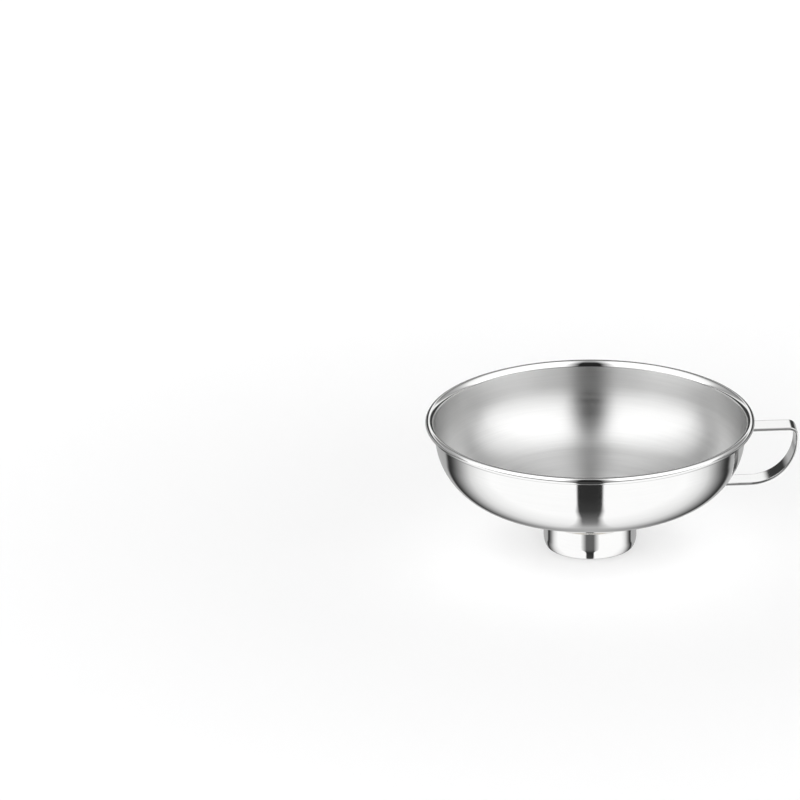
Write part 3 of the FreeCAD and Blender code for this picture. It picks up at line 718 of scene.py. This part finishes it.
class FUNNEL_OT_spout_weld(bpy.types.Operator):
    """Models one ripple of the spout's weld and copies it round the collar"""

    bl_idname = "funnel.spout_weld"
    bl_label = "Spout weld"

    def execute(self, context):
        spout, fall = settings().spout, settings().bowl.floor_fall
        toe, top = Vector((spout.radius, WELD_LOW.z)), Vector((WELD_HIGH.x, WELD_HIGH.z))
        root = Vector((spout.radius - spout.sheet + spout.weld_land, spout.top))
        floor_root = top - Vector((math.cos(fall), math.sin(fall))) * spout.weld_leg
        chord = top - toe
        crown = spout.weld_crown
        radius = (chord.length_squared / 4 + crown * crown) / (2 * crown)
        outward = Vector((chord.y, -chord.x)).normalized()
        face_centre = (toe + top) / 2 - outward * (radius - crown)
        piece = start_outline("spout_weld_bead", *toe)
        bend(face_centre, 2 * math.asin(chord.length / 2 / radius), 8)
        go(floor_root - top)
        go(root - floor_root)
        go(toe - root)
        bpy.ops.mesh.select_all(action="SELECT")
        bpy.ops.mesh.remove_doubles(threshold=MERGE_DISTANCE)
        bpy.ops.mesh.select_all(action="SELECT")
        ripple_turn = FULL_TURN / spout.ripples
        bpy.ops.mesh.spin(steps=RIPPLE_STEPS, angle=ripple_turn, center=(0, 0, 0), axis=(0, 0, 1))

        def along_face(co, step):
            """True on the face's inner points, at that step of the ripple."""
            way = Vector((math.hypot(co.x, co.y), co.z)) - toe
            past_step = abs(math.atan2(co.y, co.x)) - ripple_turn * step / RIPPLE_STEPS
            return abs(past_step) < ripple_turn / 9 and way.dot(outward) > crown * 0.2

        for step, part in RIPPLE_SWELL:
            select_points(piece, lambda co: along_face(co, step))
            factor = 1 + spout.ripple * part / toe.x
            bpy.ops.transform.resize(value=(factor, factor, 1), center_override=(0, 0, toe.y))
        bpy.ops.mesh.select_all(action="SELECT")
        bpy.ops.mesh.spin(steps=spout.ripples - 1, angle=FULL_TURN - ripple_turn, dupli=True,
                          center=(0, 0, 0), axis=(0, 0, 1))
        bpy.ops.mesh.select_all(action="SELECT")
        bpy.ops.mesh.remove_doubles(threshold=RIPPLE_MERGE_DISTANCE)
        bpy.ops.mesh.normals_make_consistent(inside=False)
        bpy.ops.object.mode_set(mode="OBJECT")
        add_slots(piece, weld_steel("steel_weld"))
        smooth(piece, 50)
        finish_piece(piece, "spout_weld")
        return {"FINISHED"}


def strap_places():
    """Where the strap's runs and bends meet, as (distance from the axis, height)."""
    strap, bowl, at = settings().handle, settings().bowl, bowl_places()
    lean, side, out = bowl.side_lean, at["side"], at["out"]
    upper_height = strap.top - strap.upper_bend
    on_side = at["side_foot"] + side * ((upper_height - at["side_foot"].y) / side.y)
    upper_centre = on_side + Vector((strap.upper_bend / math.cos(lean), 0))
    foot_top = upper_centre - out * strap.upper_bend
    corner_centre = Vector((strap.reach - strap.corner, strap.top - strap.corner))
    loop_top = Vector((strap.reach, corner_centre.y - strap.upright))
    loop_radius = loop_top.y - (strap.top - strap.loop_drop)
    loop_centre = loop_top - Vector((loop_radius, 0))
    seat = at["corner_centre"]
    lower_height = loop_centre.y - loop_radius - strap.lower_bend
    seat_reach = bowl.corner + strap.thickness + strap.lower_bend
    drop = seat.y - lower_height
    return {
        "side": side,
        "out": out,
        "foot_end": foot_top - side * strap.upper_foot,
        "foot_top": foot_top,
        "upper_centre": upper_centre,
        "corner_centre": corner_centre,
        "loop_centre": loop_centre,
        "lower_centre": Vector((seat.x + math.sqrt(seat_reach ** 2 - drop ** 2), lower_height)),
        "seat": seat,
        "seat_turn": math.asin(drop / seat_reach),
    }


class FUNNEL_OT_handle(bpy.types.Operator):
    """Draws the strap's run, widens and thickens it, rounds its edges and sinks the dimples"""

    bl_idname = "funnel.handle"
    bl_label = "Handle strap"

    def execute(self, context):
        strap, at = settings().handle, strap_places()
        piece = self.draw_run(strap, at)
        self.widen(strap)
        highest = max(piece.data.polygons, key=lambda face: face.center.z)
        if highest.normal.z < 0:
            turn_faces_over()
        self.hollow_feet(piece, strap, at)
        thicken(piece, strap.thickness)
        apply_modifier(piece, "BEVEL", width=strap.edge, segments=4, limit_method="ANGLE",
                       angle_limit=math.radians(60))
        self.sink_dimples(piece, strap, at)
        add_slots(piece, polished_steel("steel_polished_strap", lines_along_strap))
        smooth(piece, 30)
        apply_modifier(piece, "WEIGHTED_NORMAL", keep_sharp=True)
        finish_piece(piece, "handle_strap")
        return {"FINISHED"}

    def draw_run(self, strap, at):
        """Draws the strap's run from the upper foot's end, round the loop, to the lower foot's end."""
        piece = start_outline("handle_loop", *at["foot_end"])
        go(at["foot_top"] - at["foot_end"], 8)
        bend(at["upper_centre"], settings().bowl.side_lean - math.pi / 2, 18)
        go((at["corner_centre"].x - at["upper_centre"].x, 0), 12)
        bend(at["corner_centre"], -math.pi / 2, 18)
        go((0, -strap.upright), 3)
        bend(at["loop_centre"], -math.pi / 2, 56)
        go((at["lower_centre"].x - at["loop_centre"].x, 0), 12)
        bend(at["lower_centre"], math.pi / 2 - at["seat_turn"], 10)
        bend(at["seat"], -strap.lower_foot, 12)
        return piece

    def widen(self, strap):
        bpy.ops.mesh.select_all(action="SELECT")
        bpy.ops.transform.translate(value=(0, -strap.width / 2, 0))
        for _ in range(STRAP_CUTS):
            bpy.ops.mesh.extrude_region_move(
                TRANSFORM_OT_translate={"value": (0, strap.width / STRAP_CUTS, 0)}
            )
        bpy.ops.object.mode_set(mode="OBJECT")

    def hollow_feet(self, piece, strap, at):
        """Hollows both feet to fit the round bowl. The hollow fades out in the bend beside a foot."""
        foot_top, lower_centre = at["foot_top"], at["lower_centre"]
        hollows = piece.vertex_groups.new(name="hollows")
        for point in piece.data.vertices:
            x, y, z = point.co
            by_side = x < foot_top.x + strap.upper_bend and z > at["loop_centre"].y - FOOT_MARGIN
            by_corner = z < lower_centre.y + strap.lower_bend * LOWER_REACH
            if by_side:
                held = self.ease((foot_top.y + strap.upper_bend * UPPER_FADE - z) / strap.upper_bend)
            elif by_corner:
                held = self.ease((lower_centre.x + strap.lower_bend - x) / strap.lower_bend / 2)
            else:
                held = 0
            hollow = x - math.sqrt(x * x - y * y)
            hollows.add([point.index], held * hollow / strap.hollow, "REPLACE")
        apply_modifier(piece, "DISPLACE", direction="X", strength=-strap.hollow, mid_level=0.0,
                       vertex_group=hollows.name)

    def ease(self, part):
        """Rises smoothly from 0 to 1."""
        part = min(max(part, 0.0), 1.0)
        return part * part * (3 - 2 * part)

    def sink_dimples(self, piece, strap, at):
        """Sinks two dimples in each foot."""
        upper_spot = at["foot_end"] + at["side"] * strap.upper_inset + at["out"] * strap.thickness
        seat_face = settings().bowl.corner + strap.thickness
        lower_way = unit(-at["seat_turn"] - strap.lower_foot + strap.lower_inset / seat_face)
        lower_spot = at["seat"] + lower_way * seat_face
        for spot, way in ((upper_spot, at["out"]), (lower_spot, lower_way)):
            for across in (-strap.dimple_gap / 2, strap.dimple_gap / 2):
                self.sink_dimple(piece, strap, spot, way, across)

    def sink_dimple(self, piece, strap, spot, way, across):
        """Presses a flattened ball into the face at spot, which looks along way."""
        above = 1 - strap.dimple_depth / DIMPLE_BALL
        centre = spot + way * (DIMPLE_BALL * above)
        hollow = spot.x - math.sqrt(spot.x ** 2 - across ** 2)
        put_down_all()
        bpy.ops.mesh.primitive_uv_sphere_add(
            segments=48, ring_count=32, location=(centre.x - hollow, across, centre.y),
            rotation=(0, math.atan2(way.x, way.y), 0),
        )
        cutter = bpy.context.object
        half = strap.dimple / 2 / math.sqrt(1 - above * above)
        cutter.scale = (half, half, DIMPLE_BALL)
        make_active(piece)
        apply_modifier(piece, "BOOLEAN", operation="DIFFERENCE", solver="EXACT", object=cutter)
        bpy.data.objects.remove(cutter)


class FUNNEL_OT_spot_welds(bpy.types.Operator):
    """Gives the hidden spot welds their finish"""

    bl_idname = "funnel.spot_welds"
    bl_label = "Spot welds"

    def execute(self, context):
        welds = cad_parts["strap_spot_welds"]
        welds.data.materials.clear()
        add_slots(welds, weld_steel("steel_weld"))
        return {"FINISHED"}


# Studio


def world_light(studio):
    """A light tent that the steel reflects. The backdrop and the light on the floor stay plain."""
    world = bpy.data.worlds.new("light_tent")
    bpy.context.scene.world = world
    world.use_nodes = True
    tent = Nodes(world.node_tree)
    output, light = tent.node("ShaderNodeOutputWorld"), tent.node("ShaderNodeBackground")
    tent.join(light.outputs[0], output.inputs["Surface"])
    x, y, z = tent.parts(tent.node("ShaderNodeTexCoord").outputs["Generated"])
    cosine, sine = math.cos(studio.turn), math.sin(studio.turn)
    x_front, y_front = tent.maths("MULTIPLY", x, sine), tent.maths("MULTIPLY", y, cosine)
    x_right, y_right = tent.maths("MULTIPLY", x, cosine), tent.maths("MULTIPLY", y, sine)
    front = tent.maths("SUBTRACT", x_front, y_front)
    right = tent.maths("ADD", x_right, y_right)
    turn = tent.maths("ARCTAN2", front, tent.maths("MULTIPLY", z, -1.0))
    place = tent.maths("MULTIPLY_ADD", turn, 1 / FULL_TURN, 0.5)
    sideways = tent.maths("ABSOLUTE", right)
    sides = tent.ramp(tent.maths("MULTIPLY_ADD", right, -TENT_SKEW, place), TENT_SIDES)
    slot = tent.ramp(place, TENT_SLOT)
    softness = tent.ramp(place, SLOT_SOFTNESS)
    edge = tent.maths("SUBTRACT", sideways, tent.ramp(place, SLOT_HALF_WIDTH))
    outside = tent.spread(tent.maths("DIVIDE", edge, softness), 0.0, 1.0, -1.0, 1.0)
    lit = tent.mix(outside, slot, sides)
    rays = tent.node("ShaderNodeLightPath")
    lit = tent.mix(rays.outputs["Is Diffuse Ray"], lit, grey(TENT_ON_FLOOR))
    lit = tent.mix(rays.outputs["Is Camera Ray"], lit, grey(TENT_BACKDROP))
    tent.join(lit, light.inputs["Color"])
    light.inputs["Strength"].default_value = studio.tent


def plain_floor(studio):
    bpy.ops.mesh.primitive_plane_add(size=FLOOR_SIZE, location=(0, 0, 0))
    floor = bpy.context.object
    floor.name = "studio_floor"
    paper = Shader("floor_paper")
    paper.surface.inputs["Metallic"].default_value = 0.0
    paper.surface.inputs["Roughness"].default_value = 0.7
    paper.surface.inputs["Specular IOR Level"].default_value = 0.2
    paper.colour(tuple(studio.floor), paper.surface.inputs["Base Color"])
    floor.data.materials.append(paper.material)
    floor.visible_glossy = False
    floor.visible_shadow = False


def ring_of_softboxes(studio):
    """Softboxes all round at one height. Only the spout and its weld shade the floor from them."""
    casting = bpy.data.collections.new("casts_floor_shadow")
    for name in ("spout_tube", "spout_weld_bead"):
        casting.objects.link(bpy.data.objects[name])
    rise = math.radians(SOFTBOX_RISE)
    for number in range(SOFTBOXES):
        level_way = unit(FULL_TURN * (number + 0.5) / SOFTBOXES) * math.cos(rise)
        way = level_way.to_3d() + Vector((0, 0, math.sin(rise)))
        bpy.ops.object.light_add(type="AREA", location=way * SOFTBOX_DISTANCE)
        box = bpy.context.object
        box.name = f"softbox_{number + 1}"
        box.data.size = SOFTBOX_SIZE
        box.data.energy = studio.softbox
        box.rotation_euler = way.to_track_quat("Z", "Y").to_euler()
        box.visible_glossy = False
        box.visible_camera = False
        box.light_linking.blocker_collection = casting


def aim_camera(studio):
    """Stands the camera far off and frames the funnel right of the middle, with its axis upright."""
    far = studio.picture * studio.lens / SENSOR_WIDTH
    turn, height = studio.turn, studio.height
    back = Vector((math.sin(turn) * math.cos(height), -math.cos(turn) * math.cos(height),
                   math.sin(height)))
    target = Vector((0, 0, CAD_BOX[1].z / 2))
    look = -back
    right = look.cross(Vector((0, 0, 1))).normalized()
    up = right.cross(look)
    across = studio.right * SENSOR_WIDTH / studio.lens
    down = studio.down * SENSOR_WIDTH / studio.lens
    stretch = math.hypot(across, 1)
    tilt = math.atan(-down / stretch)
    level = look * math.cos(tilt) - up * math.sin(tilt)
    camera_up = up * math.cos(tilt) + look * math.sin(tilt)
    camera_right = (right + level * across) / stretch
    camera_back = (right * across - level) / stretch
    bpy.ops.object.camera_add(location=target + back * far)
    camera = bpy.context.object
    camera.name = "camera"
    camera.data.lens = studio.lens
    camera.data.sensor_width = SENSOR_WIDTH
    camera.data.clip_end = FAR_CLIP
    camera.data.dof.use_dof = False
    camera.rotation_euler = Matrix((camera_right, camera_up, camera_back)).transposed().to_euler()
    bpy.context.scene.camera = camera


class FUNNEL_OT_stage(bpy.types.Operator):
    """Sets up the plain floor, the light tent, the softboxes and the camera"""

    bl_idname = "funnel.stage"
    bl_label = "Studio"

    def execute(self, context):
        studio = settings().studio
        put_down_all()
        plain_floor(studio)
        world_light(studio)
        ring_of_softboxes(studio)
        aim_camera(studio)
        bpy.context.scene.view_settings.view_transform = "Standard"
        return {"FINISHED"}


class FUNNEL_PT_panel(bpy.types.Panel):
    """Lists the funnel's pieces, sizes and finishes"""

    bl_label = "Canning funnel"
    bl_idname = "FUNNEL_PT_panel"
    bl_space_type = "VIEW_3D"
    bl_region_type = "UI"
    bl_category = "Funnel"

    def draw(self, context):
        groups = settings()
        for name, group, operators in PANEL_ROWS:
            box = self.layout.box()
            box.label(text=name)
            values = getattr(groups, group)
            for prop in values.bl_rna.properties:
                if prop.identifier not in ("rna_type", "name"):
                    box.prop(values, prop.identifier)
            for operator in operators:
                box.operator(operator)


PANEL_ROWS = (
    ("Bowl", "bowl", ("funnel.bowl",)),
    ("Spout", "spout", ("funnel.collar", "funnel.spout_weld")),
    ("Handle", "handle", ("funnel.handle", "funnel.spot_welds")),
    ("Finish", "finish", ()),
    ("Studio", "studio", ("funnel.stage",)),
)

CLASSES = (
    FunnelBowlSizes,
    FunnelSpoutSizes,
    FunnelHandleSizes,
    FunnelFinish,
    FunnelStudio,
    CanningFunnel,
    FUNNEL_OT_bowl,
    FUNNEL_OT_collar,
    FUNNEL_OT_spout_weld,
    FUNNEL_OT_handle,
    FUNNEL_OT_spot_welds,
    FUNNEL_OT_stage,
    FUNNEL_PT_panel,
)


def register():
    for cls in CLASSES:
        bpy.utils.register_class(cls)
    bpy.types.Scene.canning_funnel = PointerProperty(type=CanningFunnel)


def unregister():
    del bpy.types.Scene.canning_funnel
    for cls in reversed(CLASSES):
        bpy.utils.unregister_class(cls)


def main():
    register()
    bpy.ops.funnel.bowl()
    bpy.ops.funnel.collar()
    bpy.ops.funnel.spout_weld()
    bpy.ops.funnel.handle()
    bpy.ops.funnel.spot_welds()
    bpy.ops.funnel.stage()


if __name__ == "__main__":
    main()
